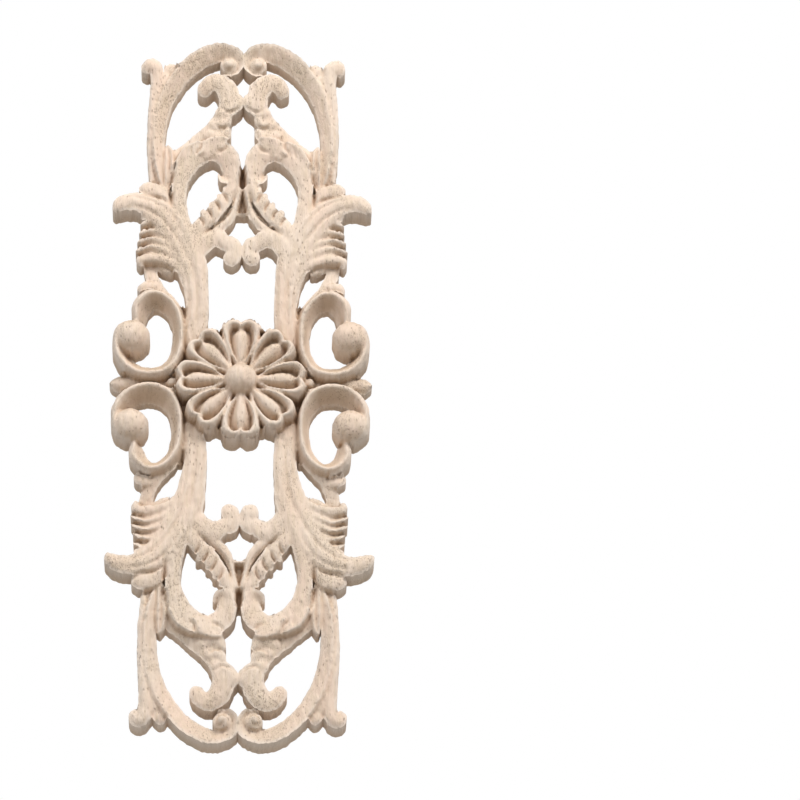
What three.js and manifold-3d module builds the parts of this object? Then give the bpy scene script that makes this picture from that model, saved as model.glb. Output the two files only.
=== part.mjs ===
// Carved wood onlay: an openwork panel of scrolls and leaves about a flower, flat at the back.
// It is drawn flat, in millimetres, as carved strokes over one quarter, and mirrored both ways.
import * as THREE from "three";
import { mergeVertices } from "three/addons/utils/BufferGeometryUtils.js";
import Module from "manifold-3d";

const wasm = await Module();
wasm.setup();

// Finished size of the onlay, without the flower: height is that of the side scrolls' crests.
const LENGTH = 295;
const WIDTH = 100.4;
const HEIGHT = 11.6;

// The sheet that the strokes are drawn on. A stroke keeps its place as a share of the sheet.
const SHEET = { width: 100.4, length: 295, height: 11.6 };

// Flower at the middle.
const PETALS = 8;
const FLOWER_RADIUS = 25;
const FLOWER_HEIGHT = 13.8;
const FLOWER_FLOOR_RADIUS = 22;
const FLOWER_FLOOR_HEIGHT = 8.4;
const FLOWER_BALL_RADIUS = 6.6;
const FLOWER_BALL_HEIGHT = 9.8;

// Balls that the scrolls and the loops end in, and the bead beside the flower.
const SCROLL_BALL_RADIUS = 7;
const LOOP_BALL_RADIUS = 3.4;
const BEAD_RADIUS = 2.2;

// Fineness of the facets.
const SCROLL_TOLERANCE = 0.64;
const LEAF_TOLERANCE = 1.15;
const PETAL_TOLERANCE = 0.8;
const HEIGHT_WEIGHT = 0.35;
const POINTS_PER_SPAN = 6;
const BALL_SIDES = 12;
const BEAD_SIDES = 8;

// Sections across a stroke: place from its left edge (-1) to its right edge (1), and share of its height.
const FLAT = [[-1, 0.95], [1, 0.95]];
const ROUND = [[-1, 0.66], [0, 1], [1, 0.66]];
const DOME = [[-1, 0.6], [0, 1], [1, 0.6]];
const SOFT = [[-1, 0.88], [0, 1], [1, 0.88]];
const TILT = [[-1, 0.98], [-0.5, 0.93], [1, 0.6]];
const COVE = [[-1, 0.8], [-0.5, 1], [0, 0.84], [1, 0.34]];
const LOBE = [[-1, 0.97], [0, 0.98], [1, 0.9]];
const LOBE_TIP = [[-1, 0.98], [0, 0.86], [1, 0.46]];
const STALK = [[-1, 0.84], [-0.3, 1], [1, 0.8]];

function toSolid(positions, triangles) {
  return new wasm.Manifold(new wasm.Mesh({
    numProp: 3,
    vertProperties: Float32Array.from(positions),
    triVerts: Uint32Array.from(triangles),
  }));
}

function geometryToSolid(geometry) {
  geometry.deleteAttribute("normal");
  geometry.deleteAttribute("uv");
  const merged = mergeVertices(geometry, 1e-4);
  return toSolid(merged.attributes.position.array, merged.index.array);
}

function join(solids) {
  if (solids.length === 1) return solids[0];
  const middle = Math.ceil(solids.length / 2);
  return join(solids.slice(0, middle)).add(join(solids.slice(middle)));
}

// A copy of a solid, mirrored by the signs given.
function mirrored(solid, signX, signY) {
  const mesh = solid.getMesh();
  const positions = Array.from(mesh.vertProperties, (value, i) => value * [signX, signY, 1][i % 3]);
  const triangles = Array.from(mesh.triVerts);
  if (signX * signY < 0) triangles.reverse();
  return toSolid(positions, triangles);
}

// Points of a smooth line through the control points, fine enough to look round.
function smoothLine(controls) {
  const first = controls[0];
  const last = controls[controls.length - 1];
  const before = first.map((value, k) => 2 * value - controls[1][k]);
  const after = last.map((value, k) => 2 * value - controls[controls.length - 2][k]);
  const p = [before, ...controls, after];
  const line = [];
  for (let i = 1; i < p.length - 2; i++) {
    for (let s = 0; s < POINTS_PER_SPAN; s++) {
      const t = s / POINTS_PER_SPAN;
      line.push(p[i].map((value, k) => 0.5 * (2 * value + (p[i + 1][k] - p[i - 1][k]) * t
        + (2 * p[i - 1][k] - 5 * value + 4 * p[i + 1][k] - p[i + 2][k]) * t * t
        + (3 * value - p[i - 1][k] - 3 * p[i + 1][k] + p[i + 2][k]) * t * t * t)));
    }
  }
  line.push(last);
  return line;
}

// The few points of a line that straight facets need to stay within the tolerance of it.
function faceted(line, tolerance) {
  const last = line.length - 1;
  const chord = line[last].map((value, k) => value - line[0][k]);
  const chordSquared = chord[0] ** 2 + chord[1] ** 2;
  let farthest = 0;
  let worst = tolerance;
  for (let i = 1; i < last; i++) {
    const offset = line[i].map((value, k) => value - line[0][k]);
    const dot = offset[0] * chord[0] + offset[1] * chord[1];
    const along = chordSquared > 0 ? Math.min(1, Math.max(0, dot / chordSquared)) : 0;
    const miss = offset.map((value, k) => value - along * chord[k]);
    const distance = Math.hypot(miss[0], miss[1], miss[2], HEIGHT_WEIGHT * miss[3]);
    if (distance > worst) {
      worst = distance;
      farthest = i;
    }
  }
  if (farthest === 0) return [line[0], line[last]];
  const head = faceted(line.slice(0, farthest + 1), tolerance);
  const tail = faceted(line.slice(farthest), tolerance);
  return [...head.slice(0, -1), ...tail];
}

// One slice of a stroke between two of its sections. Each section runs over the top from left to
// right and comes back along the flat bottom.
function slice(sectionA, sectionB) {
  const n = sectionA.length;
  const triangles = [];
  for (let i = 0; i < n; i++) {
    const j = (i + 1) % n;
    triangles.push(i, n + j, n + i, i, j, n + j);
  }
  for (let i = 0; i < n - 2; i++) {
    triangles.push(n - 1, i + 1, i);
    triangles.push(2 * n - 1, n + i, n + i + 1);
  }
  return toSolid([...sectionA, ...sectionB].flat(), triangles);
}

// A stroke: a ridge of carving along a smooth line. Each control point is x, y, half width, height.
function strokeSolid(controls, tolerance, profile, endProfile = profile) {
  const line = faceted(smoothLine(controls), tolerance);
  const sections = line.map(([x, y, half, height], i) => {
    const a = line[Math.max(0, i - 1)];
    const b = line[Math.min(line.length - 1, i + 1)];
    const direction = Math.atan2(b[1] - a[1], b[0] - a[0]);
    const inside = i > 0 && i < line.length - 1;
    const cross = (x - a[0]) * (b[1] - y) - (y - a[1]) * (b[0] - x);
    const dot = (x - a[0]) * (b[0] - x) + (y - a[1]) * (b[1] - y);
    const turn = inside ? Math.atan2(cross, dot) : 0;
    const reach = 0.5 * Math.hypot(b[0] - a[0], b[1] - a[1]) / Math.max(Math.abs(turn), 0.01);
    const along = i / (line.length - 1);
    const outline = [];
    for (let k = 0; k < profile.length; k++) {
      const share = profile[k][1] + along * (sampleProfile(endProfile, profile[k][0]) - profile[k][1]);
      const inner = Math.sign(turn) === -Math.sign(profile[k][0]);
      const across = profile[k][0] * (inner ? Math.min(half, 0.92 * reach) : half);
      outline.push([x + across * Math.sin(direction), y - across * Math.cos(direction), height * share]);
    }
    const left = outline[0];
    const right = outline[outline.length - 1];
    outline.push([right[0], right[1], 0], [left[0], left[1], 0]);
    return outline;
  });
  return join(sections.slice(1).map((section, i) => slice(sections[i], section)));
}

// Height share of a profile at a place across it.
function sampleProfile(profile, place) {
  const k = Math.max(1, profile.findIndex((point) => point[0] >= place));
  const [a, b] = [profile[k - 1], profile[k]];
  return a[1] + (b[1] - a[1]) * (place - a[0]) / (b[0] - a[0]);
}

// A round ball whose middle stands at the height given.
function ballSolid(x, y, radius, height, sides) {
  const ball = new THREE.SphereGeometry(radius, sides, sides / 2);
  ball.rotateX(Math.PI / 2);
  ball.translate(x, y, Math.max(height, radius));
  return geometryToSolid(ball);
}

const stretchX = WIDTH / SHEET.width;
const stretchY = LENGTH / SHEET.length;
const stretchZ = HEIGHT / SHEET.height;
const quarter = [];

function stroke(name, controls, profile, endProfile) {
  const placed = controls.map(([x, y, half, height]) => [
    x * stretchX, y * stretchY, half * stretchX, height * stretchZ]);
  const isLeaf = profile === SOFT || profile === LOBE || profile === STALK;
  const tolerance = isLeaf ? LEAF_TOLERANCE : SCROLL_TOLERANCE;
  quarter.push(strokeSolid(placed, tolerance, profile, endProfile));
}

function knob(name, x, y, radius, height) {
  const sides = radius > 4 ? BALL_SIDES : BEAD_SIDES;
  quarter.push(ballSolid(x * stretchX, y * stretchY, radius, height * stretchZ, sides));
}

// Outer frame: a tilted loop that rolls up at the middle onto a ball, with an ear at the corner.
stroke("loop", [[6.8, 134.6, 0.9, 9], [3.6, 135, 1.3, 9.8], [1.7, 138, 1.9, 10],
  [2.5, 141.8, 2.8, 10.3], [5.8, 144.1, 3, 10.4], [10.8, 144.1, 3.5, 10.4], [17.2, 141.1, 3.5, 10.4],
  [22.6, 136.2, 3.3, 10.4], [27.3, 129.3, 3.1, 10.4], [30.7, 121.5, 2.9, 10.3],
  [32.6, 111.5, 2.6, 10.2], [33, 101.5, 2.4, 10], [32.4, 94, 2.2, 9.4], [31.6, 89, 1.8, 8.6],
  [30.8, 85, 1.1, 7.6]], TILT);
stroke("loop floor", [[5, 135.2, 1.8, 7.4], [5.4, 138.3, 3.6, 8.6], [6, 141.8, 2.6, 7.6]], FLAT);
stroke("ear", [[35.4, 88, 1.1, 7], [36, 98, 1.3, 8], [36.1, 108, 1.5, 9], [35.6, 118, 1.7, 9.6],
  [34.8, 126, 2, 9.8], [34.2, 132, 2.4, 10], [34.6, 136.2, 2.9, 10.2], [36.6, 138, 3, 10],
  [38.2, 136.5, 2, 9.4], [38, 135.1, 1.3, 8.8]], FLAT);
stroke("ear bud", [[28.4, 130.6, 1.6, 7], [29.2, 133.6, 1.8, 7.8], [29, 136.4, 2.3, 8.6],
  [28.6, 137.8, 1.9, 8.4]], FLAT);
stroke("ear foot", [[32.4, 80, 1.8, 5.6], [34, 88, 1.8, 6], [34.4, 97, 1.2, 6.4]], FLAT);

// Hooked scroll inside the frame, stepped by overlapping collars on its inner side.
stroke("hook", [[15, 126, 1.9, 8.2], [15.2, 127.3, 2.9, 9], [13.3, 129.8, 3.4, 9.6],
  [10.4, 130.7, 3.8, 9.9], [7, 128, 4.2, 10.2], [5.6, 123.6, 4.1, 10.2], [6.3, 118.8, 3.6, 10],
  [9, 114, 3.2, 9], [12.6, 109.6, 3.2, 8], [16.8, 105.4, 3.5, 7], [21.5, 101.2, 3.4, 6.6],
  [27.4, 97.8, 2.4, 6.8]], SOFT);
stroke("collar a", [[8.4, 116.8, 2.6, 9.8], [5, 118.2, 2.8, 10.2], [2.4, 121.6, 2.9, 10.2],
  [3.2, 124.6, 1.5, 9.8]], FLAT);
stroke("collar b", [[11, 111.6, 2.4, 9.2], [7.6, 111.8, 2.4, 9.8], [5.9, 114.3, 1.4, 9.6]], FLAT);
stroke("collar c", [[13, 107.4, 2.6, 8.8], [8, 106.4, 2.6, 9.2], [6, 109, 1.4, 9.2]], FLAT);

// Big C scroll with its crest of overlapping scales.
stroke("volute", [[8.5, 89.8, 1.2, 7.6], [7, 88.1, 2.2, 8.4], [4.9, 89.3, 3.3, 9.2],
  [4.6, 93, 3.8, 9.8], [6.4, 97.6, 4.4, 10], [11, 100.5, 4.6, 10.2], [17, 98.8, 4.7, 10.2],
  [21.8, 93.8, 4.3, 10], [24.2, 86.5, 3.2, 9.8], [24.6, 79, 2.8, 9.6], [24, 71, 3.4, 9.4],
  [22, 63, 3.6, 9.4]], TILT, SOFT);
stroke("crest a", [[24, 95, 2.4, 10.2], [21.3, 98.9, 2.8, 10.5], [18.6, 101.5, 2.2, 10.6],
  [17.4, 102.8, 1.2, 10.5]], FLAT);
stroke("crest b", [[14.4, 99.6, 3.4, 10.4], [11.6, 102.4, 3.1, 10.7], [8, 104.1, 1.9, 10.7]], FLAT);
stroke("reed", [[29.6, 83, 1, 7.6], [29, 88, 1.8, 8.4], [28.8, 94.5, 2.3, 8.8], [29, 99.8, 1.8, 8.6],
  [29.4, 102.6, 0.8, 8]], SOFT);

// Serrated leaf that crosses to the middle, its inner fold, and the bar between the two leaves.
stroke("cross leaf", [[19.4, 62, 3.2, 9], [15.8, 67.4, 3, 9.2], [12.6, 70.9, 3.2, 9.2],
  [9.4, 75, 3.1, 9.2], [6.4, 79.5, 2.8, 9], [4, 84, 2.3, 8.8], [2.7, 88, 1.7, 8.4]], SOFT);
stroke("cross tooth a", [[13, 71.2, 2, 8.6], [15.2, 73.3, 1.1, 8.4]], FLAT);
stroke("cross tooth b", [[10, 74.8, 2, 8.6], [11.8, 76.7, 1.1, 8.4]], FLAT);
stroke("cross tooth c", [[7, 78.6, 2, 8.6], [8.8, 80.5, 1.1, 8.4]], FLAT);
stroke("cross fold", [[14.4, 61.6, 1.8, 8], [11, 64.6, 2.1, 8], [8, 67.3, 2.1, 8], [5.4, 70.3, 1.9, 8],
  [3.5, 74, 1.5, 7.8], [2.3, 79, 1.2, 7.6], [1.3, 84, 1.4, 7.6]], FLAT);
stroke("cross bar", [[-0.8, 73.7, 0.9, 6.1], [3.8, 73.7, 1.1, 6.7]], ROUND);
stroke("cross web", [[0.7, 75, 1.9, 2.6], [0.7, 84, 2.6, 2.8], [0.7, 91, 2, 2.6]], ROUND);

// Curl in two lobes that closes the middle opening.
stroke("curl", [[18.8, 55, 4.4, 9.2], [14.6, 60.4, 4.6, 9.2], [10, 62.1, 3.9, 9], [7.2, 61.2, 3, 8.6]
 ], FLAT);
stroke("curl end", [[8, 60.2, 2.8, 8.4], [4.2, 59.2, 3.6, 8.2], [2.7, 56.6, 2.8, 8],
  [3.6, 54.2, 3.3, 8.2], [4.1, 53, 2.7, 7.8]], FLAT);

// Stem and the big side leaf with its lobes.
stroke("stem", [[14, 8, 2.6, 5], [18.4, 18, 3.4, 7], [17.4, 25, 4.4, 8], [17, 34, 4.4, 8.8],
  [18.1, 43, 5.1, 9.2], [19.8, 51.5, 6.2, 9.6], [23, 60, 6.2, 9.8], [27, 68, 5.4, 10]], STALK);
stroke("side leaf", [[24, 58, 3, 9.4], [27.5, 67, 5.4, 9.8], [33, 73.2, 5.2, 10.2],
  [39.5, 76.4, 4.1, 10.8], [44.6, 76.3, 3.5, 11.2], [47.4, 75.1, 2.8, 11.2], [49, 73.2, 1.4, 10.8]], SOFT);
stroke("leaf tip", [[28.6, 76, 3.4, 9], [32.4, 80.6, 4.1, 9.2], [35.8, 82.5, 3.6, 9.4],
  [38, 82.7, 2.3, 9.2]], SOFT);
stroke("leaf chin", [[29, 67, 3, 9], [34, 70.6, 2.8, 9.4], [37.4, 71.2, 2, 9.2]], FLAT);
stroke("lobe a", [[24.5, 61, 3, 9.2], [29.6, 66, 3, 9.2], [34.4, 67.6, 2.5, 8.8], [38.4, 66.8, 1.3, 8.6]
 ], LOBE, LOBE_TIP);
stroke("lobe b", [[23.5, 56.5, 3, 9], [29, 61.6, 2.8, 9], [34.4, 63.8, 2.4, 8.6], [38.6, 63, 1.3, 8.4]
 ], LOBE, LOBE_TIP);
stroke("lobe c", [[23, 52.5, 3, 8.8], [29, 57.6, 2.6, 8.8], [35, 60.2, 2.3, 8.6],
  [39.3, 59.2, 1.35, 8.4]], LOBE, LOBE_TIP);
stroke("lobe d", [[22.6, 50, 3, 8.4], [28.6, 54.4, 2.4, 8.6], [35, 56.8, 2.2, 8.6],
  [39.6, 55.6, 1.35, 8.2]], LOBE, LOBE_TIP);
stroke("lobe e", [[23, 49, 2.6, 8], [28.6, 51.8, 2, 8.4], [35, 53.4, 2.2, 8.6], [38.9, 52.4, 1.8, 8.4],
  [39.1, 50.6, 1.1, 8]], SOFT);

// Tendril from the side scroll up to the leaf.
stroke("tendril", [[35.2, 53, 2.8, 4.6], [35.2, 48, 2.6, 5.4], [34, 44, 2.6, 6.2],
  [31.4, 39.6, 2.2, 6.8], [27.6, 35.6, 2, 6.8], [24.6, 31, 1.9, 6.6], [22.8, 24, 2, 6.4]], FLAT);
stroke("tendril curl", [[34, 41.5, 1.9, 7.4], [36.6, 41.2, 2.1, 7.8], [38.5, 40.2, 1.6, 7.6],
  [38.9, 39, 0.9, 7.2]], FLAT);
stroke("stem web", [[22.6, 6, 2, 3.4], [21.4, 14, 2.2, 4], [21.6, 24, 2, 4], [23, 32, 1.4, 4]], FLAT);

// Side scroll: a hollow ring that ends in a ball, and the buds beside it.
stroke("ring", [[43.2, 25, 0.9, 9.5], [45.8, 21.6, 2.2, 11], [46.8, 16.6, 2.5, 11.5],
  [45.2, 10.3, 3.1, 11.6], [40.6, 5.6, 3.5, 11.6], [34.4, 4.2, 3.6, 11.6], [28.2, 6.4, 3.3, 11.4],
  [24.7, 12.8, 2.6, 11], [24, 20.5, 2.3, 10.8], [25.4, 28.6, 2.5, 10.8], [29.6, 34.2, 2.9, 11],
  [34.6, 35.3, 3.5, 11.2], [38.5, 31.8, 3.4, 11], [39.2, 27.4, 2.6, 10], [39.2, 25.2, 1.5, 9]], COVE);
stroke("side bud", [[20, 0, 2.2, 5], [27, 0, 2.6, 5.6], [35, 0, 2.8, 5.8], [43, 0, 3.6, 7],
  [46.8, 0, 3.2, 6.8], [48.6, 0, 1.2, 6.4]], ROUND);
knob("scroll ball", 41.9, 18.7, SCROLL_BALL_RADIUS, 7.2);
knob("loop ball", 5.8, 138.4, LOOP_BALL_RADIUS, 7.6);
knob("side bead", 26.2, 0, BEAD_RADIUS, 7);

// Flower: each petal has a raised rim that folds in at a notched tip, and a tongue up its middle.
// Each point is distance from the middle, offset and half width as shares of the flower's radius,
// and height as a share of its own.
const petalRim = [[0.26, 0.06, 0.024, 0.8], [0.4, 0.116, 0.032, 0.9], [0.56, 0.18, 0.044, 0.96],
  [0.72, 0.224, 0.058, 0.99], [0.856, 0.22, 0.064, 1], [0.936, 0.136, 0.06, 0.99],
  [0.92, 0.052, 0.052, 0.96], [0.872, 0, 0.036, 0.91]];
const petalTongue = [[0.24, 0, 0.048, 0.82], [0.4, 0, 0.084, 0.88], [0.56, 0, 0.116, 0.93],
  [0.69, 0, 0.128, 0.91], [0.77, 0, 0.096, 0.85]];

function turned(controls, angle, side) {
  return controls.map(([u, v, half, height]) => [
    FLOWER_RADIUS * (u * Math.cos(angle) - side * v * Math.sin(angle)),
    FLOWER_RADIUS * (u * Math.sin(angle) + side * v * Math.cos(angle)),
    FLOWER_RADIUS * half, FLOWER_HEIGHT * height]);
}

const flower = [];
for (let i = 0; i < PETALS; i++) {
  const angle = (i * 2 * Math.PI) / PETALS;
  for (const side of [-1, 1]) {
    flower.push(strokeSolid(turned(petalRim, angle, side), PETAL_TOLERANCE, SOFT));
  }
  flower.push(strokeSolid(turned(petalTongue, angle, 1), PETAL_TOLERANCE, DOME));
}
const floor = new THREE.CylinderGeometry(FLOWER_FLOOR_RADIUS, FLOWER_FLOOR_RADIUS, FLOWER_FLOOR_HEIGHT, 24);
floor.rotateX(Math.PI / 2);
floor.translate(0, 0, FLOWER_FLOOR_HEIGHT / 2);
flower.push(geometryToSolid(floor));
flower.push(ballSolid(0, 0, FLOWER_BALL_RADIUS, FLOWER_BALL_HEIGHT, BALL_SIDES));

const quarterSolid = join(quarter);
const half = quarterSolid.add(mirrored(quarterSolid, -1, 1));
const whole = half.add(mirrored(half, 1, -1)).add(join(flower));

const finished = whole.getMesh();
const geometry = new THREE.BufferGeometry();
geometry.setAttribute("position", new THREE.BufferAttribute(Float32Array.from(finished.vertProperties), 3));
geometry.setIndex(new THREE.BufferAttribute(Uint32Array.from(finished.triVerts), 1));

const wood = new THREE.MeshStandardMaterial({ color: 0xe6d2bb, roughness: 0.85, metalness: 0 });
const onlay = new THREE.Mesh(geometry, wood);
onlay.name = "onlay";
// Stood upright: its length runs up and its carved face looks to the front.
onlay.rotation.x = Math.PI / 2;

const group = new THREE.Group();
group.add(onlay);
export default group;
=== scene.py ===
"""Looks of the carved wood onlay: fine carved relief, bare pale wood and a plain studio.

The relief is drawn as carved strokes over one quarter of the onlay, in millimetres: x to the right,
y along the length and the height up from the flat back. It is mirrored both ways.
"""
import math

import bpy
import numpy as np
from mathutils import Euler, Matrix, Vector
from mathutils.geometry import delaunay_2d_cdt


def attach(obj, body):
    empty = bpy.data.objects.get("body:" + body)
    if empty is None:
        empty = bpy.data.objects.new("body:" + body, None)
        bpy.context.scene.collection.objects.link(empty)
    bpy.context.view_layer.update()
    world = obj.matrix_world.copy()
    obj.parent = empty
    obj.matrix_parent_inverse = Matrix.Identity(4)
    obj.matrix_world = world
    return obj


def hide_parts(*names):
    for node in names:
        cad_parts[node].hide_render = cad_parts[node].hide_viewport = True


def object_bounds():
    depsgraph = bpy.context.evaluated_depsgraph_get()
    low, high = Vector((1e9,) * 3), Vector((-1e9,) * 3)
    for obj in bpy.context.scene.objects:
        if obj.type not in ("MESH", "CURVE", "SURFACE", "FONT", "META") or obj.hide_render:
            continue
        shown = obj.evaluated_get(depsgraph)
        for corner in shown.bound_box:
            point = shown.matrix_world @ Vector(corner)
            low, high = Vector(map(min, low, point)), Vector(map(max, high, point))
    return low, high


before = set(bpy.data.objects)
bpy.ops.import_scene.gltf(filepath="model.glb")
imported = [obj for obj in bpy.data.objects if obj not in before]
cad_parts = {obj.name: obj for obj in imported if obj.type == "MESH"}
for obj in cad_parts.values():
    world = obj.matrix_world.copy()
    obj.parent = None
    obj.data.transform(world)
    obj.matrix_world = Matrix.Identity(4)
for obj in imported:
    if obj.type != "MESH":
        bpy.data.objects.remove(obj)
cad_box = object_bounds()

# Grid step of the relief and the size of the quarter that it covers, in millimetres.
GRID = 0.47
QUARTER = (53, 150)
POINTS_PER_SPAN = 8
NARROWEST_STROKE = 0.05
# Step in height up to which two forms melt into each other, and how far a form's height goes on
# past its own edge. The grid starts out far outside every form.
BLEND = 0.5
SKIRT = 1.2
FAR_OUTSIDE = -9.0
# Depth of the tool marks on the surface and along the outline, how far they run in grid steps, and
# the seed of each.
SURFACE_MARKS = 0.11
EDGE_MARKS = 0.1
MARK_LENGTH = 8
SURFACE_SEED = 11
EDGE_SEED = 12
# Least share of a grid step that the outline may cut off, so that no sliver is left.
CUT_MARGIN = 0.08
# Points of the outline nearer to each other than this count as one, in millimetres.
SAME_POINT = 1e-5
SHARP_EDGE = math.radians(60)
# How far the two copies that set the painted shade in creases are softened, in passes, and the depth
# below each copy at which that painted shade is at its darkest, in millimetres. A rim's painted
# highlight is at its palest this far above the first.
NEAR_PASSES, NEAR_DEPTH = 3, 0.8
AROUND_PASSES, AROUND_DEPTH = 14, 2.6
RIM_HEIGHT = 0.6

# Sections across a stroke at five even places, from its left edge to its right edge, as shares of
# its height.
ROUND = (0.66, 0.92, 1.00, 0.92, 0.66)
DOME = (0.70, 0.94, 1.00, 0.94, 0.70)
SOFT = (0.88, 0.97, 1.00, 0.97, 0.88)
TILT = (0.98, 0.93, 0.83, 0.73, 0.60)
COVE = (0.80, 1.00, 0.84, 0.54, 0.34)
LOBE = (0.97, 1.00, 0.98, 0.94, 0.90)
LOBE_TIP = (0.98, 1.00, 0.86, 0.66, 0.46)
LEDGE = (0.84, 0.90, 0.95, 0.99, 1.00)
STALK = (0.84, 0.99, 0.94, 0.96, 0.80)
REEDS = (0.78, 1.00, 0.78, 1.00, 0.78)

strokes = []
balls = []
grooves = []


def stroke(name, controls, profile, end_profile=None):
    """A ridge along a smooth line. Each control point is x, y, half width, height.

    The name only labels the stroke for the reader, as it does for a knob.
    """
    strokes.append((controls, profile, end_profile or profile))


def knob(name, x, y, radius, height):
    """A ball whose middle stands at the height given."""
    balls.append((x, y, radius, height))


def groove(points, half_width, depth):
    """A vein cut into the surface along a smooth line of x, y points."""
    grooves.append((points, half_width, depth))


# Outer frame: a tilted loop that rolls up at the middle onto a ball, with an ear at the corner.
stroke("loop", [[6.8, 134.6, 0.9, 9], [3.6, 135, 1.3, 9.8], [1.7, 138, 1.9, 10],
  [2.5, 141.8, 2.8, 10.3], [5.8, 144.1, 3, 10.4], [10.8, 144.1, 3.5, 10.4], [17.2, 141.1, 3.5, 10.4],
  [22.6, 136.2, 3.3, 10.4], [27.3, 129.3, 3.1, 10.4], [30.7, 121.5, 2.9, 10.3],
  [32.6, 111.5, 2.6, 10.2], [33, 101.5, 2.4, 10], [32.4, 94, 2.2, 9.4], [31.6, 89, 1.8, 8.6],
  [30.8, 85, 1.1, 7.6]], TILT)
stroke("loop floor", [[5, 135.2, 1.8, 7.4], [5.4, 138.3, 3.6, 8.6], [6, 141.8, 2.6, 7.6]], SOFT)
stroke("ear", [[35.4, 88, 1.1, 7], [36, 98, 1.3, 8], [36.1, 108, 1.5, 9], [35.6, 118, 1.7, 9.6],
  [34.8, 126, 2, 9.8], [34.2, 132, 2.4, 10], [34.6, 136.2, 2.9, 10.2], [36.6, 138, 3, 10],
  [38.2, 136.5, 2, 9.4], [38, 135.1, 1.3, 8.8]], SOFT)
stroke("ear web", [[34.6, 112, 1, 8], [33.4, 120, 1.8, 8.6], [32.4, 127, 2.2, 9], [31, 132.6, 2.8, 8.8]],
  SOFT)
stroke("ear bud", [[28.4, 130.6, 1.6, 7], [29.2, 133.6, 1.8, 7.8], [28.9, 136, 2.7, 8.6],
  [28.5, 137.2, 2.3, 8.4]], SOFT)
stroke("ear foot", [[32.4, 80, 1.8, 5.6], [34, 88, 1.8, 6], [34.4, 97, 1.2, 6.4]], ROUND)

# Hooked scroll inside the frame, stepped by overlapping collars on its inner side.
stroke("hook", [[15, 126, 1.9, 8.2], [15.2, 127.3, 2.9, 9], [13.3, 129.8, 3.4, 9.6],
  [10.4, 130.7, 3.8, 9.9], [7, 128, 4.2, 10.2], [5.6, 123.6, 4.1, 10.2], [6.3, 118.8, 3.6, 10],
  [9, 114, 3.2, 9], [12.6, 109.6, 3.2, 8], [16.8, 105.4, 3.5, 7], [21.5, 101.2, 3.4, 6.6],
  [27.4, 97.8, 2.4, 6.8]], SOFT)
stroke("collar a", [[8.4, 116.8, 2.6, 9.8], [5, 118.2, 2.8, 10.2], [2.4, 121.6, 2.9, 10.2],
  [3.2, 124.6, 1.5, 9.8]], SOFT)
stroke("collar b", [[11, 111.6, 2.4, 9.2], [7.6, 111.8, 2.4, 9.8], [5.9, 114.3, 1.4, 9.6]], SOFT)
stroke("collar c", [[13, 107.4, 2.6, 8.8], [8, 106.4, 2.6, 9.2], [6, 109, 1.4, 9.2]], SOFT)

# Big C scroll with its crest of overlapping scales.
stroke("volute", [[8.5, 89.8, 1.2, 7.6], [7, 88.1, 2.2, 8.4], [4.9, 89.3, 3.3, 9.2],
  [4.6, 93, 3.8, 9.8], [6.4, 97.6, 4.4, 10], [11, 100.5, 4.6, 10.2], [17, 98.8, 4.7, 10.2],
  [21.8, 93.8, 4.3, 10], [24.2, 86.5, 3.2, 9.8], [24.6, 79, 2.8, 9.6], [24, 71, 3.4, 9.4],
  [22, 63, 3.6, 9.4]], TILT, SOFT)
stroke("crest a", [[24, 95, 2.4, 10.2], [21.3, 98.9, 2.8, 10.5], [18.6, 101.5, 2.2, 10.6],
  [17.4, 102.8, 1.2, 10.5]], LEDGE)
stroke("crest b", [[14.4, 99.6, 3.4, 10.4], [11.6, 102.4, 3.1, 10.7], [8, 104.1, 1.9, 10.7]], LEDGE)
stroke("reed", [[29.6, 83, 1, 7.6], [29, 88, 1.8, 8.4], [28.8, 94.5, 2.3, 8.8], [29, 99.8, 1.8, 8.6],
  [29.4, 102.6, 0.8, 8]], REEDS)

# Serrated leaf that crosses to the middle, its inner fold, and the bar between the two leaves.
stroke("cross leaf", [[19.4, 62, 3.2, 9], [15.8, 67.4, 3, 9.2], [12.6, 70.9, 3.2, 9.2],
  [9.4, 75, 3.1, 9.2], [6.4, 79.5, 2.8, 9], [4, 84, 2.3, 8.8], [2.7, 88, 1.7, 8.4]], SOFT)
stroke("cross tooth a", [[13, 71.2, 2, 8.6], [15.2, 73.3, 1.1, 8.4]], SOFT)
stroke("cross tooth b", [[10, 74.8, 2, 8.6], [11.8, 76.7, 1.1, 8.4]], SOFT)
stroke("cross tooth c", [[7, 78.6, 2, 8.6], [8.8, 80.5, 1.1, 8.4]], SOFT)
stroke("cross tooth d", [[5, 82, 1.8, 8.4], [6.6, 83.8, 1, 8.2]], SOFT)
stroke("cross fold", [[14.4, 61.6, 1.8, 8], [11, 64.6, 2.1, 8], [8, 67.3, 2.1, 8], [5.4, 70.3, 1.9, 8],
  [3.5, 74, 1.5, 7.8], [2.3, 79, 1.2, 7.6], [1.3, 84, 1.4, 7.6]], SOFT)
stroke("cross bar", [[-0.8, 73.7, 0.9, 6.1], [3.8, 73.7, 1.1, 6.7]], ROUND)
stroke("cross web", [[0.7, 75, 1.9, 2.6], [0.7, 84, 2.6, 2.8], [0.7, 91, 2, 2.6]], ROUND)

# Curl in two lobes that closes the middle opening.
stroke("curl", [[18.8, 55, 4.4, 9.2], [14.6, 60.4, 4.6, 9.2], [10, 62.1, 3.9, 9], [7.2, 61.2, 3, 8.6]],
  SOFT)
stroke("curl end", [[8, 60.2, 2.8, 8.4], [4.2, 59.2, 3.6, 8.2], [2.7, 56.6, 2.8, 8],
  [3.6, 54.2, 3.3, 8.2], [4.1, 53, 2.7, 7.8]], SOFT)

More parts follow.
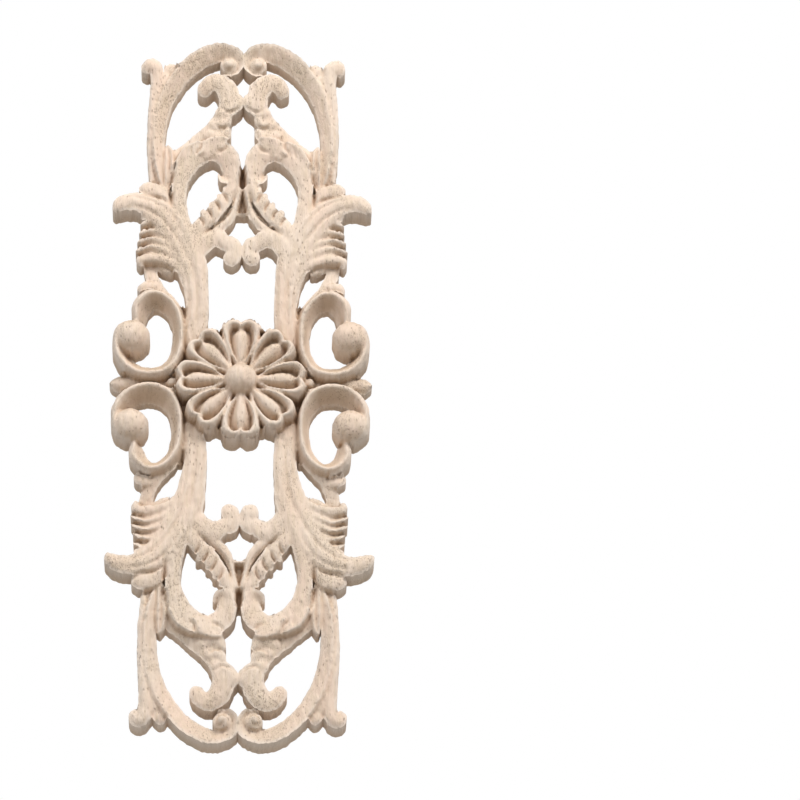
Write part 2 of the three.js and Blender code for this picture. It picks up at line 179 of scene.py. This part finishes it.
# Stem and the big side leaf with its lobes.
stroke("stem", [[14, 8, 2.6, 5], [18.4, 18, 3.4, 7], [17.4, 25, 4.4, 8], [17, 34, 4.4, 8.8],
  [18.1, 43, 5.1, 9.2], [19.8, 51.5, 6.2, 9.6], [23, 60, 6.2, 9.8], [27, 68, 5.4, 10]], STALK)
stroke("side leaf", [[24, 58, 3, 9.4], [27.5, 67, 5.4, 9.8], [33, 73.2, 5.2, 10.2],
  [39.5, 76.4, 4.1, 10.8], [44.6, 76.3, 3.5, 11.2], [47.4, 75.1, 2.8, 11.2], [49, 73.2, 1.4, 10.8]], SOFT)
stroke("leaf tip", [[28.6, 76, 3.4, 9], [32.4, 80.6, 4.1, 9.2], [35.8, 82.5, 3.6, 9.4],
  [38, 82.7, 2.3, 9.2]], SOFT)
stroke("leaf chin", [[29, 67, 3, 9], [34, 70.6, 2.8, 9.4], [37.4, 71.2, 2, 9.2]], SOFT)
stroke("lobe a", [[24.5, 61, 3, 9.2], [29.6, 66, 3, 9.2], [34.4, 67.6, 2.5, 8.8], [38.4, 66.8, 1.3, 8.6]],
  LOBE, LOBE_TIP)
stroke("lobe b", [[23.5, 56.5, 3, 9], [29, 61.6, 2.8, 9], [34.4, 63.8, 2.4, 8.6], [38.6, 63, 1.3, 8.4]],
  LOBE, LOBE_TIP)
stroke("lobe c", [[23, 52.5, 3, 8.8], [29, 57.6, 2.6, 8.8], [35, 60.2, 2.3, 8.6],
  [39.3, 59.2, 1.35, 8.4]], LOBE, LOBE_TIP)
stroke("lobe d", [[22.6, 50, 3, 8.4], [28.6, 54.4, 2.4, 8.6], [35, 56.8, 2.2, 8.6],
  [39.6, 55.6, 1.35, 8.2]], LOBE, LOBE_TIP)
stroke("lobe e", [[23, 49, 2.6, 8], [28.6, 51.8, 2, 8.4], [35, 53.4, 2.2, 8.6], [38.9, 52.4, 1.8, 8.4],
  [39.1, 50.6, 1.1, 8]], SOFT)

# Tendril from the side scroll up to the leaf.
stroke("tendril", [[35.2, 53, 2.8, 4.6], [35.2, 48, 2.6, 5.4], [34, 44, 2.6, 6.2],
  [31.4, 39.6, 2.2, 6.8], [27.6, 35.6, 2, 6.8], [24.6, 31, 1.9, 6.6], [22.8, 24, 2, 6.4]], SOFT)
stroke("tendril bud", [[32.4, 50.8, 1.8, 5.4], [29.2, 48.6, 1.6, 6], [27.6, 47.6, 1.2, 6]], ROUND)
stroke("tendril curl", [[34, 41.5, 1.9, 7.4], [36.6, 41.2, 2.1, 7.8], [38.5, 40.2, 1.6, 7.6],
  [38.9, 39, 0.9, 7.2]], SOFT)
stroke("stem web", [[22.6, 6, 2, 3.4], [21.4, 14, 2.2, 4], [21.6, 24, 2, 4], [23, 32, 1.4, 4]], ROUND)

# Side scroll: a hollow ring that ends in a ball, and the buds beside it.
stroke("ring", [[43.2, 25, 0.9, 9.5], [45.8, 21.6, 2.2, 11], [46.8, 16.6, 2.5, 11.5],
  [45.2, 10.3, 3.1, 11.6], [40.6, 5.6, 3.5, 11.6], [34.4, 4.2, 3.6, 11.6], [28.2, 6.4, 3.3, 11.4],
  [24.7, 12.8, 2.6, 11], [24, 20.5, 2.3, 10.8], [25.4, 28.6, 2.5, 10.8], [29.6, 34.2, 2.9, 11],
  [34.6, 35.3, 3.5, 11.2], [38.5, 31.8, 3.4, 11], [39.2, 27.4, 2.6, 10], [39.2, 25.2, 1.5, 9]], COVE)
stroke("side bud", [[20, 0, 2.2, 5], [27, 0, 2.6, 5.6], [35, 0, 2.8, 5.8], [43, 0, 3.6, 7],
  [46.8, 0, 3.2, 6.8], [48.6, 0, 1.2, 6.4]], ROUND)
knob("scroll ball", 41.9, 18.7, 7, 7.2)
knob("volute ball", 5.8, 138.4, 3.4, 7.6)
knob("side bead", 26.2, 0, 2.2, 7)

# Lines cut in after the forms are raised: creases between scales, folds and reeds, and the veins.
groove([[27.7, 75], [28, 80], [28, 86], [27.4, 92]], 0.6, 3.2)
groove([[16, 103.4], [16.6, 100.8], [18.2, 98.4]], 0.5, 2)
groove([[5.8, 102.4], [7.4, 100.4], [10, 99.2]], 0.5, 1.6)
groove([[20.2, 101], [20.4, 97.4]], 0.35, 1)
groove([[1.6, 118.8], [4, 117.4], [6.2, 116.8], [8, 118.4]], 0.45, 1.5)
groove([[4.6, 111.8], [7, 110.2], [9.4, 110.2], [11, 111.8]], 0.45, 1.5)
groove([[15, 63.4], [12.4, 66.2], [9.3, 69], [6.2, 72.2], [4, 77], [2.9, 82]], 0.45, 2.4)
groove([[17.4, 71.6], [15.6, 69.6], [15, 67]], 0.4, 2.6)
groove([[14.2, 74.8], [12.4, 72.6], [11.8, 70]], 0.4, 3)
groove([[10.9, 78.2], [9.3, 76], [8.7, 73.4]], 0.4, 3)
groove([[7.9, 81.8], [6.6, 79.8], [6, 77.4]], 0.4, 2.6)
groove([[21, 52], [24.6, 60], [30.4, 68.4], [37, 73.2], [43, 74.6]], 0.6, 0.9)
groove([[22.4, 62], [25.4, 68.6], [30.4, 74.2], [37, 77.4], [42.6, 78]], 0.5, 0.8)
groove([[17.2, 24], [17.2, 36], [18.4, 46], [20.4, 54]], 0.5, 0.8)
groove([[20.4, 26], [20.2, 36], [21.4, 45], [24, 53]], 0.45, 0.8)
groove([[28.5, 76.6], [32, 78.8], [38.6, 80]], 0.45, 1.6)
groove([[4, 140], [3.7, 137.8], [5.3, 136], [7.6, 136.8], [8, 139.4], [6.2, 140.4], [5.2, 139]], 0.5, 1.9)

# Flower: each petal has a raised rim that folds in at a notched tip, and a tongue up its middle.
# The floor is a radius and a height, the ball a radius and the height of its middle, and the petals'
# lines run out from the flower's middle: along, aside, half width, height.
PETALS = 8
FLOWER_FLOOR = (22, 5)
FLOWER_BALL = (6.4, 10)
PETAL_FLOOR = [[7, 1.4, 1.4, 8.2], [13, 3, 3, 8.8], [18, 4, 3.6, 8.8], [21.4, 3.4, 3.8, 8.8]]
PETAL_RIM = [[6.5, 1.5, 0.6, 11], [10, 3.3, 0.7, 12.4], [14, 4.9, 0.9, 13.3], [18, 5.8, 1.4, 13.7],
             [21.4, 5.6, 1.7, 13.8], [23.4, 3.4, 1.5, 13.6], [23, 1.3, 1.3, 13.2], [21.8, 0, 0.9, 12.6]]
PETAL_TONGUE = [[6, 0, 1.3, 11.4], [9, 0, 2.3, 12.2], [13.6, 0, 3.3, 12.9], [17.2, 0, 3.6, 12.9],
                [19.4, 0, 2.7, 12]]


def smooth_line(controls):
    """Points of a smooth line through the control points."""
    p = np.asarray(controls, float)
    p = np.vstack([2 * p[0] - p[1], p, 2 * p[-1] - p[-2]])
    t = (np.arange(POINTS_PER_SPAN) / POINTS_PER_SPAN)[:, None]
    spans = []
    for a, b, c, d in zip(p, p[1:], p[2:], p[3:]):
        spans.append(0.5 * (2 * b + (c - a) * t + (2 * a - 5 * b + 4 * c - d) * t ** 2
                            + (3 * b - a - 3 * c + d) * t ** 3))
    return np.vstack(spans + [p[-2:-1]])


def profile_height(profile, across):
    """Height share of a section at places from -1 to 1 across it, along a smooth curve."""
    p = np.array([2 * profile[0] - profile[1], *profile, 2 * profile[-1] - profile[-2]])
    place = (np.clip(across, -1, 1) + 1) * 2
    i = np.clip(place.astype(int), 0, 3)
    t = place - i
    a, b, c, d = p[i], p[i + 1], p[i + 2], p[i + 3]
    return 0.5 * (2 * b + (c - a) * t + (2 * a - 5 * b + 4 * c - d) * t ** 2
                  + (3 * b - a - 3 * c + d) * t ** 3)


def nearest_on_line(line, x, y, half):
    """For each point: distance inside the stroke's edge, signed place across, and place along."""
    best = np.full(x.shape, np.inf)
    across = np.zeros(x.shape)
    along = np.zeros(x.shape)
    for i in range(len(line) - 1):
        dx, dy = line[i + 1, :2] - line[i, :2]
        vx, vy = x - line[i, 0], y - line[i, 1]
        u = np.clip((vx * dx + vy * dy) / (dx * dx + dy * dy + 1e-12), 0, 1)
        distance = np.hypot(vx - u * dx, vy - u * dy)
        width = half[i] + u * (half[i + 1] - half[i])
        nearer = distance - width < best
        best[nearer] = (distance - width)[nearer]
        side = -np.sign(dx * vy - dy * vx)
        across[nearer] = (side * distance / np.maximum(width, NARROWEST_STROKE))[nearer]
        along[nearer] = (i + u)[nearer]
    return -best, across, along


class Relief:
    """Height field of one quarter: how far inside the outline, and how high, each grid point is."""

    def __init__(self, x_end, y_end):
        self.xs = np.arange(0, x_end, GRID)
        self.ys = np.arange(0, y_end, GRID)
        self.x, self.y = np.meshgrid(self.xs, self.ys)
        self.inside = np.full(self.x.shape, FAR_OUTSIDE)
        self.height = np.zeros(self.x.shape)
        self.skirt = np.zeros(self.x.shape)

    def window(self, line, half, margin):
        """The grid points in a box around a line."""
        reach = half.max() + margin
        return ((self.x > line[:, 0].min() - reach) & (self.x < line[:, 0].max() + reach)
                & (self.y > line[:, 1].min() - reach) & (self.y < line[:, 1].max() + reach))

    def raise_to(self, mask, inside, height):
        """Joins a form to the relief, with a small fillet where two forms meet."""
        self.inside[mask] = np.maximum(self.inside[mask], inside)
        near = inside > -SKIRT
        skirt = self.skirt[mask]
        skirt[near] = np.maximum(skirt[near], height[near])
        self.skirt[mask] = skirt
        old = self.height[mask]
        new = np.where(inside > 0, height, 0)
        blend = np.maximum(BLEND - np.abs(old - new), 0) / BLEND
        both = (inside > 0) & (old > 0)
        self.height[mask] = np.maximum(old, new) + np.where(both, blend ** 2 * BLEND / 4, 0)

    def add_stroke(self, controls, profile, end_profile):
        """Raises a ridge whose section goes from one profile to the other along its line."""
        line = smooth_line(controls)
        half = line[:, 2]
        mask = self.window(line, half, 2)
        if not mask.any():
            return
        inside, across, along = nearest_on_line(line, self.x[mask], self.y[mask], half)
        share = along / (len(line) - 1)
        height = np.interp(along, np.arange(len(line)), line[:, 3])
        height = height * (profile_height(profile, across) * (1 - share)
                           + profile_height(end_profile, across) * share)
        self.raise_to(mask, inside, height)

    def add_ball(self, x, y, radius, middle):
        """Raises the upper half of a ball on an upright post."""
        mask = np.hypot(self.x - x, self.y - y) < radius + 2
        distance = np.hypot(self.x - x, self.y - y)[mask]
        dome = np.sqrt(np.maximum(radius ** 2 - distance ** 2, 0))
        self.raise_to(mask, radius - distance, middle + dome)

    def cut_groove(self, points, half_width, depth):
        """Cuts a rounded groove that fades out at both ends."""
        line = smooth_line(points)
        half = np.full(len(line), half_width)
        mask = self.window(line, half, 3)
        inside, _, along = nearest_on_line(line, self.x[mask], self.y[mask], half)
        distance = half_width - inside
        fade = np.sin(np.pi * np.clip(along / (len(line) - 1), 0.04, 0.96)) ** 0.5
        self.height[mask] -= depth * fade * np.exp(-(distance / half_width) ** 2)
        self.height[mask] = np.maximum(self.height[mask], 0)


def turned(controls, angle, side):
    """Control points turned about the flower's middle, mirrored first where side is -1."""
    c, s = math.cos(angle), math.sin(angle)
    return [[u * c - side * v * s, u * s + side * v * c, half, height]
            for u, v, half, height in controls]


def add_flower(relief):
    """Raises the flower's floor, its petals and its ball."""
    radius, height = FLOWER_FLOOR
    distance = np.hypot(relief.x, relief.y)
    mask = distance < radius + 2
    relief.raise_to(mask, (radius - distance)[mask], np.full(mask.sum(), float(height)))
    for i in range(PETALS):
        angle = i * 2 * math.pi / PETALS
        for side in (-1, 1):
            relief.add_stroke(turned(PETAL_FLOOR, angle, side), SOFT, SOFT)
            relief.add_stroke(turned(PETAL_RIM, angle, side), SOFT, SOFT)
        relief.add_stroke(turned(PETAL_TONGUE, angle, 1), DOME, DOME)
    relief.add_ball(0, 0, *FLOWER_BALL)


def blurred(field, passes):
    """Soft copy of a field, by a small repeated average."""
    for _ in range(passes):
        wide = np.pad(field, 1, mode="edge")
        field = (wide[1:-1, :-2] + 2 * wide[1:-1, 1:-1] + wide[1:-1, 2:]) / 4
        wide = np.pad(field, 1, mode="edge")
        field = (wide[:-2, 1:-1] + 2 * wide[1:-1, 1:-1] + wide[2:, 1:-1]) / 4
    return field


def tool_marks(shape, seed, depth):
    """Fine unevenness that hand tools leave, longer along the grain than across it."""
    field = np.random.default_rng(seed).normal(size=shape)
    for _ in range(MARK_LENGTH):
        field = (np.roll(field, 1, axis=0) + 2 * field + np.roll(field, -1, axis=0)) / 4
    field = blurred(field, 1)
    return depth * field / field.std()


def carve_quarter():
    """The relief of one quarter: forms first, then the lines cut into them."""
    relief = Relief(*QUARTER)
    for controls, profile, end_profile in strokes:
        relief.add_stroke(controls, profile, end_profile)
    for ball in balls:
        relief.add_ball(*ball)
    add_flower(relief)
    for points, half_width, depth in grooves:
        relief.cut_groove(points, half_width, depth)
    # Outside the outline the height of the nearest form goes on, so that the rim is cut cleanly.
    relief.height = np.where(relief.inside > 0, relief.height, relief.skirt)
    return relief


def unfolded(field):
    """The whole field from its quarter, mirrored both ways."""
    field = np.hstack([field[:, :0:-1], field])
    return np.vstack([field[:0:-1], field])


def inside_triangles(triangles, outline):
    """Triangles on the solid side of the outline, whose edges all run with the solid on their left."""
    owner = {}
    for t, (a, b, c) in enumerate(triangles):
        for edge in ((a, b), (b, c), (c, a)):
            owner[edge] = t
    found = {owner[edge] for edge in outline}
    waiting = sorted(found)
    while waiting:
        a, b, c = triangles[waiting.pop()]
        for p, q in ((a, b), (b, c), (c, a)):
            beyond = owner.get((q, p))
            if (p, q) not in outline and beyond is not None and beyond not in found:
                found.add(beyond)
                waiting.append(beyond)
    return [triangles[t] for t in sorted(found)]


def build_mesh(xs, ys, inside, height, painted_shading):
    """Closed mesh: relief on top, upright walls, flat back. Cells on the outline are cut along it."""
    rows, columns = inside.shape
    number = {}
    points = []
    painted_shading_values = []

    def node(r, c):
        key = (r, c)
        if key not in number:
            number[key] = len(points)
            points.append((xs[c], ys[r], height[r, c]))
            painted_shading_values.append(painted_shading[r, c])
        return number[key]

    def crossing(r0, c0, r1, c1):
        if inside[r0, c0] <= 0:
            r0, c0, r1, c1 = r1, c1, r0, c0
        key = (r0, c0, r1, c1)
        if key not in number:
            t = inside[r0, c0] / (inside[r0, c0] - inside[r1, c1])
            t = min(max(t, CUT_MARGIN), 1 - CUT_MARGIN)
            number[key] = len(points)
            points.append((xs[c0] + t * (xs[c1] - xs[c0]), ys[r0] + t * (ys[r1] - ys[r0]),
                           height[r0, c0] + t * (height[r1, c1] - height[r0, c0])))
            painted_shading_values.append(painted_shading[r0, c0])
        return number[key]

    faces = []
    rim = []
    solid = inside > 0
    count = (solid[:-1, :-1].astype(int) + solid[:-1, 1:] + solid[1:, 1:] + solid[1:, :-1])
    for r, c in zip(*np.nonzero(count == 4)):
        faces.append((node(r, c), node(r, c + 1), node(r + 1, c + 1), node(r + 1, c)))
    for r, c in zip(*np.nonzero((count > 0) & (count < 4))):
        corners = [(r, c), (r, c + 1), (r + 1, c + 1), (r + 1, c)]
        ring = []
        for k in range(4):
            a, b = corners[k], corners[(k + 1) % 4]
            if solid[a]:
                ring.append((node(*a), False))
            if solid[a] != solid[b]:
                ring.append((crossing(*a, *b), True))
        loops = [ring]
        if count[r, c] == 2 and solid[corners[0]] == solid[corners[2]]:
            # Two opposite corners: they are cut off as two separate triangles.
            first = next(k for k, (_, cut) in enumerate(ring) if not cut)
            ring = ring[first - 1:] + ring[:first - 1] if first else ring[-1:] + ring[:-1]
            loops = [ring[:3], ring[3:]]
        for loop in loops:
            faces.append(tuple(i for i, _ in loop))
            n = len(loop)
            for k in range(n):
                if loop[k][1] and loop[(k + 1) % n][1]:
                    rim.append((loop[k][0], loop[(k + 1) % n][0]))

    foot = {}
    for a, b in rim:
        for i in (a, b):
            if i not in foot:
                foot[i] = len(points)
                points.append((points[i][0], points[i][1], 0.0))
                painted_shading_values.append(0.0)
    for a, b in rim:
        faces.append((b, a, foot[a], foot[b]))

    feet = sorted(foot.values())
    place = {i: k for k, i in enumerate(feet)}
    outline = [(place[foot[a]], place[foot[b]]) for a, b in rim]
    flat = [Vector(points[i][:2]) for i in feet]
    _, _, triangles, origin, _, _ = delaunay_2d_cdt(flat, outline, [], 1, SAME_POINT)
    back = [tuple(feet[origin[i][0]] for i in t) for t in triangles]
    for a, b, c in inside_triangles(back, {(foot[a], foot[b]) for a, b in rim}):
        faces.append((c, b, a))
    return np.array(points), faces, np.array(painted_shading_values)


def make_object(name, points, faces, painted_shading_values):
    """A Blender object of the relief, stood upright inside the CAD box."""
    low, high = np.array(cad_box[0]), np.array(cad_box[1])
    size = high - low
    spread = points.max(axis=0) - points.min(axis=0)
    placed = np.column_stack([
        low[0] + (points[:, 0] - points[:, 0].min()) / spread[0] * size[0],
        high[1] - (points[:, 2] - points[:, 2].min()) / spread[2] * size[1],
        low[2] + (points[:, 1] - points[:, 1].min()) / spread[1] * size[2]])
    mesh = bpy.data.meshes.new(name)
    mesh.from_pydata(placed.tolist(), [], faces)
    mesh.validate()
    mesh.shade_smooth()
    mesh.set_sharp_from_angle(angle=SHARP_EDGE)
    # Painted shade and painted highlight of each point, read by the wood's colour.
    shade = mesh.attributes.new("painted_shading", "FLOAT", "POINT")
    shade.data.foreach_set("value", painted_shading_values.astype(np.float32))
    piece = bpy.data.objects.new(name, mesh)
    bpy.context.scene.collection.objects.link(piece)
    return piece


def carved_onlay():
    """The whole carved relief as one Blender object."""
    relief = carve_quarter()
    inside = unfolded(relief.inside)
    height = unfolded(relief.height)
    soft = blurred(height, 1)
    height = np.where(inside > 0, soft, height)
    height = height + tool_marks(height.shape, SURFACE_SEED, SURFACE_MARKS)
    inside = inside + tool_marks(inside.shape, EDGE_SEED, EDGE_MARKS)
    # Painted light of the relief: above 0 for painted shade in creases and hollows, below 0 for a painted
    # highlight along raised edges.
    edged = np.where(inside > 0, height, height * 0.6)
    near = blurred(edged, NEAR_PASSES)
    around = blurred(edged, AROUND_PASSES)
    painted_shading = (0.6 * np.clip((near - height) / NEAR_DEPTH, 0, 1)
              + 0.4 * np.clip((around - height) / AROUND_DEPTH, 0, 1)
              - np.clip((height - near) / RIM_HEIGHT, 0, 1))
    xs = np.concatenate([-relief.xs[:0:-1], relief.xs])
    ys = np.concatenate([-relief.ys[:0:-1], relief.ys])
    points, faces, painted_shading_values = build_mesh(xs, ys, inside, height, painted_shading)
    return make_object("carved_onlay", points, faces, painted_shading_values)


# Colours of the bare wood, as linear shares of red, green and blue.
CREAM = (0.80, 0.665, 0.55, 1)
PINKISH = (0.80, 0.63, 0.51, 1)
# Painted highlight along raised rims.
PAINTED_RIM_HIGHLIGHT = (0.84, 0.74, 0.65, 1)
STRAW = (0.70, 0.57, 0.42, 1)
PORE = (0.30, 0.19, 0.12, 1)
# Darker wood of the end grain, which also serves as the painted shade on the walls.
END_GRAIN_AND_WALL_SHADE = (0.56, 0.41, 0.28, 1)
# Painted shade in creases and hollows.
PAINTED_CREASE_SHADE = (0.38, 0.23, 0.13, 1)


class Nodes:
    """Short names for building a material's nodes."""

    def __init__(self, name):
        self.material = bpy.data.materials.new(name)
        self.material.use_nodes = True
        self.tree = self.material.node_tree
        self.shader = self.tree.nodes["Principled BSDF"]
        self.position = self.tree.nodes.new("ShaderNodeTexCoord").outputs["Object"]

    def add(self, kind, **settings):
        node = self.tree.nodes.new(kind)
        for key, value in settings.items():
            setattr(node, key, value)
        return node

    def link(self, output, node_input):
        self.tree.links.new(output, node_input)

    def stretched(self, scale):
        mapping = self.add("ShaderNodeMapping")
        mapping.inputs["Scale"].default_value = scale
        self.link(self.position, mapping.inputs["Vector"])
        return mapping.outputs["Vector"]

    def noise(self, scale, detail=4, roughness=0.55):
        node = self.add("ShaderNodeTexNoise")
        node.inputs["Scale"].default_value = 1
        node.inputs["Detail"].default_value = detail
        node.inputs["Roughness"].default_value = roughness
        self.link(self.stretched(scale), node.inputs["Vector"])
        return node.outputs["Fac"]

    def cells(self, scale):
        node = self.add("ShaderNodeTexVoronoi")
        node.inputs["Scale"].default_value = 1
        self.link(self.stretched(scale), node.inputs["Vector"])
        return node.outputs["Distance"]

    def ramp(self, value, start, end, low=0, high=1):
        node = self.add("ShaderNodeMapRange", interpolation_type="SMOOTHSTEP")
        node.inputs["From Min"].default_value = start
        node.inputs["From Max"].default_value = end
        node.inputs["To Min"].default_value = low
        node.inputs["To Max"].default_value = high
        self.link(value, node.inputs["Value"])
        return node.outputs["Result"]

    def times(self, a, b):
        node = self.add("ShaderNodeMath", operation="MULTIPLY")
        self.link(a, node.inputs[0])
        if isinstance(b, (int, float)):
            node.inputs[1].default_value = b
        else:
            self.link(b, node.inputs[1])
        return node.outputs[0]

    def larger(self, a, b):
        node = self.add("ShaderNodeMath", operation="MAXIMUM")
        self.link(a, node.inputs[0])
        self.link(b, node.inputs[1])
        return node.outputs[0]

    def size_of(self, a):
        node = self.add("ShaderNodeMath", operation="ABSOLUTE")
        self.link(a, node.inputs[0])
        return node.outputs[0]

    def blend(self, share, a, b):
        node = self.add("ShaderNodeMix", data_type="RGBA")
        self.link(share, node.inputs["Factor"])
        for value, socket in ((a, node.inputs[6]), (b, node.inputs[7])):
            if isinstance(value, tuple):
                socket.default_value = value
            else:
                self.link(value, socket)
        return node.outputs[2]


def bare_wood():
    """Bare pale wood, as values and noise along the grain, with painted shade in creases and on walls and
    painted highlights on rims.
    """
    n = Nodes("bare_wood")
    tint = n.ramp(n.noise((60, 60, 22), 3), 0.35, 0.65)
    colour = n.blend(tint, CREAM, PINKISH)
    streaks = n.ramp(n.noise((900, 900, 60), 4), 0.42, 0.70, 0, 0.5)
    colour = n.blend(streaks, colour, STRAW)
    # Upright walls get a painted shade, and end grain, where the faces look along the length, is darker
    # wood of its own; both blend towards one brown.
    normal = n.add("ShaderNodeSeparateXYZ")
    n.link(n.tree.nodes["Texture Coordinate"].outputs["Normal"], normal.inputs[0])
    painted_wall_shade = n.ramp(n.size_of(normal.outputs["Y"]), 0.1, 0.6, 0.7, 0)
    end_grain = n.ramp(n.size_of(normal.outputs["Z"]), 0.35, 0.9, 0, 0.75)
    colour = n.blend(n.larger(painted_wall_shade, end_grain), colour, END_GRAIN_AND_WALL_SHADE)
    # Pores: short dark dashes along the length, gathered in patches.
    patches = n.ramp(n.noise((150, 150, 60), 2), 0.40, 0.62, 0.15, 1)
    dashes = n.ramp(n.cells((1050, 1050, 340)), 0.10, 0.28, 1, 0)
    specks = n.ramp(n.cells((2100, 2100, 1000)), 0.18, 0.38, 1, 0)
    worn = n.ramp(n.noise((70, 70, 45), 3), 0.48, 0.64)
    pores = n.larger(n.times(dashes, patches), n.times(specks, worn))
    colour = n.blend(n.times(worn, 0.3), colour, STRAW)
    colour = n.blend(n.times(pores, 0.52), colour, PORE)
    painted_shading = n.add("ShaderNodeAttribute", attribute_name="painted_shading")
    # Painted highlight along raised rims, then painted shade in creases and hollows.
    colour = n.blend(n.ramp(painted_shading.outputs["Fac"], -1, 0, 0.5, 0), colour, PAINTED_RIM_HIGHLIGHT)
    colour = n.blend(n.ramp(painted_shading.outputs["Fac"], 0, 1, 0, 0.75), colour, PAINTED_CREASE_SHADE)
    n.link(colour, n.shader.inputs["Base Color"])
    n.shader.inputs["Roughness"].default_value = 0.82
    n.shader.inputs["Specular IOR Level"].default_value = 0.22
    fuzz = n.noise((1500, 1500, 300), 5, 0.75)
    rough = n.add("ShaderNodeMath", operation="SUBTRACT")
    n.link(fuzz, rough.inputs[0])
    n.link(pores, rough.inputs[1])
    bump = n.add("ShaderNodeBump")
    bump.inputs["Strength"].default_value = 0.7
    bump.inputs["Distance"].default_value = 0.0009
    n.link(rough.outputs[0], bump.inputs["Height"])
    n.link(bump.outputs["Normal"], n.shader.inputs["Normal"])
    return n.material


# Camera: looks up at the onlay from below, from straight in front. Lengths are in metres.
IMAGE_SIZE = 800
FOCAL_PIXELS = 4416
SENSOR_WIDTH = 36
CAMERA_DISTANCE = 1.676
CAMERA_ELEVATION = math.radians(-26)
CAMERA_ROLL = 0.009
# Where the middle of the back lies in the photograph.
ORIGIN_PIXEL = (240.9, 391.5)

# Studio: brightness of the sky behind the onlay and in front of it, and the floor in metres.
SKY_BEHIND = 1.0
SKY_IN_FRONT = 0.46
FLOOR_REACH = 3
FLOOR_LEVEL = -1.3
FLOOR_GREY = (0.75, 0.75, 0.75, 1)


def add_camera():
    """The camera, turned so that the onlay lies in the left half of the picture."""
    data = bpy.data.cameras.new("camera")
    data.sensor_width = SENSOR_WIDTH
    data.lens = FOCAL_PIXELS / IMAGE_SIZE * SENSOR_WIDTH
    camera = bpy.data.objects.new("camera", data)
    bpy.context.scene.collection.objects.link(camera)
    camera.location = (0, -CAMERA_DISTANCE * math.cos(CAMERA_ELEVATION),
                       CAMERA_DISTANCE * math.sin(CAMERA_ELEVATION))
    aim = (-camera.location).to_track_quat("-Z", "Y")
    turn_right = math.atan((IMAGE_SIZE / 2 - ORIGIN_PIXEL[0]) / FOCAL_PIXELS)
    turn_down = math.atan((IMAGE_SIZE / 2 - ORIGIN_PIXEL[1]) / FOCAL_PIXELS)
    aim = aim @ Euler((0, 0, CAMERA_ROLL)).to_quaternion()
    aim = aim @ Euler((0, -turn_right, 0)).to_quaternion()
    aim = aim @ Euler((-turn_down, 0, 0)).to_quaternion()
    camera.rotation_mode = "QUATERNION"
    camera.rotation_quaternion = aim
    bpy.context.scene.camera = camera


def add_light(name, place, size, watts, colour=(1, 1, 1)):
    """A square light that points at the onlay's middle."""
    data = bpy.data.lights.new(name, "AREA")
    data.size = size
    data.energy = watts
    data.color = colour
    light = bpy.data.objects.new(name, data)
    light.location = place
    light.rotation_mode = "QUATERNION"
    light.rotation_quaternion = (-Vector(place)).to_track_quat("-Z", "Y")
    bpy.context.scene.collection.objects.link(light)


def add_studio():
    """A pale floor well below, a white backdrop sky behind and softer light in front."""
    world = bpy.data.worlds.new("studio")
    bpy.context.scene.world = world
    world.use_nodes = True
    tree = world.node_tree
    direction = tree.nodes.new("ShaderNodeTexCoord")
    split = tree.nodes.new("ShaderNodeSeparateXYZ")
    tree.links.new(direction.outputs["Generated"], split.inputs[0])
    fade = tree.nodes.new("ShaderNodeMapRange")
    fade.inputs["From Min"].default_value = 0.3
    fade.inputs["From Max"].default_value = 0.8
    fade.inputs["To Min"].default_value = SKY_IN_FRONT
    fade.inputs["To Max"].default_value = SKY_BEHIND
    tree.links.new(split.outputs["Y"], fade.inputs["Value"])
    tree.links.new(fade.outputs["Result"], tree.nodes["Background"].inputs["Strength"])
    tree.nodes["Background"].inputs["Color"].default_value = (1, 1, 1, 1)
    add_light("key", (0.6, -0.95, 1.1), 0.7, 21, (1, 0.98, 0.95))
    add_light("fill", (-0.7, -1.1, 0.95), 1.2, 10)

    mesh = bpy.data.meshes.new("floor")
    mesh.from_pydata([(-FLOOR_REACH, -FLOOR_REACH, FLOOR_LEVEL), (FLOOR_REACH, -FLOOR_REACH, FLOOR_LEVEL),
                      (FLOOR_REACH, FLOOR_REACH, FLOOR_LEVEL), (-FLOOR_REACH, FLOOR_REACH, FLOOR_LEVEL)],
                     [], [(0, 1, 2, 3)])
    floor = bpy.data.objects.new("floor", mesh)
    bpy.context.scene.collection.objects.link(floor)
    pale = bpy.data.materials.new("pale_floor")
    pale.use_nodes = True
    pale.node_tree.nodes["Principled BSDF"].inputs["Base Color"].default_value = FLOOR_GREY
    mesh.materials.append(pale)


piece = carved_onlay()
piece.data.materials.append(bare_wood())
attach(piece, "root")
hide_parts("onlay")

add_camera()
add_studio()
bpy.context.scene.view_settings.view_transform = "Standard"
